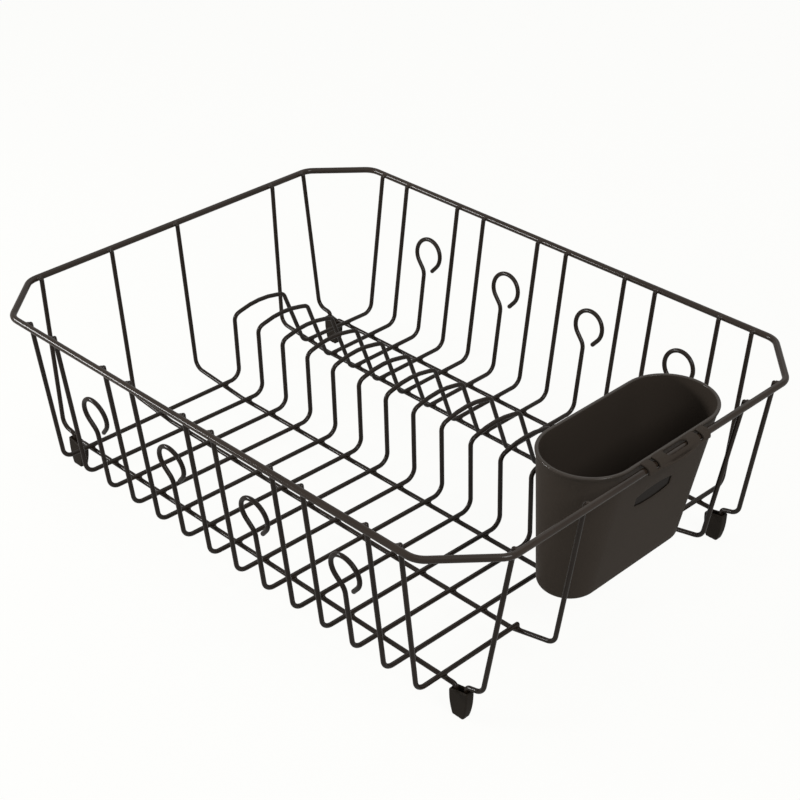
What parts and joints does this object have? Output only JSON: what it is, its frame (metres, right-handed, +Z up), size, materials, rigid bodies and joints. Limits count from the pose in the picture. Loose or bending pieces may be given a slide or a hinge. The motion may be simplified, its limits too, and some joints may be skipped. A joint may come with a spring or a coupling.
{
  "type": "dish drying rack",
  "caption": "Coated-wire dish drying rack with a plate divider, stemware loops, soft feet and a lift-off cutlery cup hooked over one end.",
  "frame": {"origin": "on the surface that the feet stand on, under the middle of the rim", "axes": "+Z up, +X along the rack towards the cutlery cup, +Y from the front to the back, where the plate divider is nearer"},
  "size_m": [0.4486, 0.3362, 0.1411],
  "materials": {
    "rim_coating": "thick dark vinyl coating over steel wire, soft gloss",
    "wire_coating": "dark vinyl coating over steel wire, soft gloss, pooled at the welds",
    "foot_plastic": "soft moulded boot, satin",
    "cup_plastic": "moulded polypropylene, fine satin texture"
  },
  "bodies": {
    "rack": {"cross_wire_01": "wire_coating", "cross_wire_02": "wire_coating", "cross_wire_03": "wire_coating", "cross_wire_04": "wire_coating", "cross_wire_05": "wire_coating", "cross_wire_06": "wire_coating", "cross_wire_07": "wire_coating", "cross_wire_08": "wire_coating", "cross_wire_09": "wire_coating", "cross_wire_10": "wire_coating", "cross_wire_11": "wire_coating", "cross_wire_12": "wire_coating", "cross_wire_13": "wire_coating", "cross_wire_14_back": "wire_coating", "cross_wire_14_front": "wire_coating", "foot_front_left": "foot_plastic", "foot_front_right": "foot_plastic", "foot_rear_left": "foot_plastic", "foot_rear_right": "foot_plastic", "long_wire_1": "wire_coating", "long_wire_2": "wire_coating", "long_wire_3": "wire_coating", "long_wire_4": "wire_coating", "long_wire_5": "wire_coating", "rim_wire": "rim_coating"},
    "cutlery_cup": {"cutlery_cup": "cup_plastic"}
  },
  "joints": [
    {"name": "cup_lift", "type": "slide", "parent": "rack", "child": "cutlery_cup", "axis": [0, 0, 1], "range_m": [0, 0.14]}
  ]
}
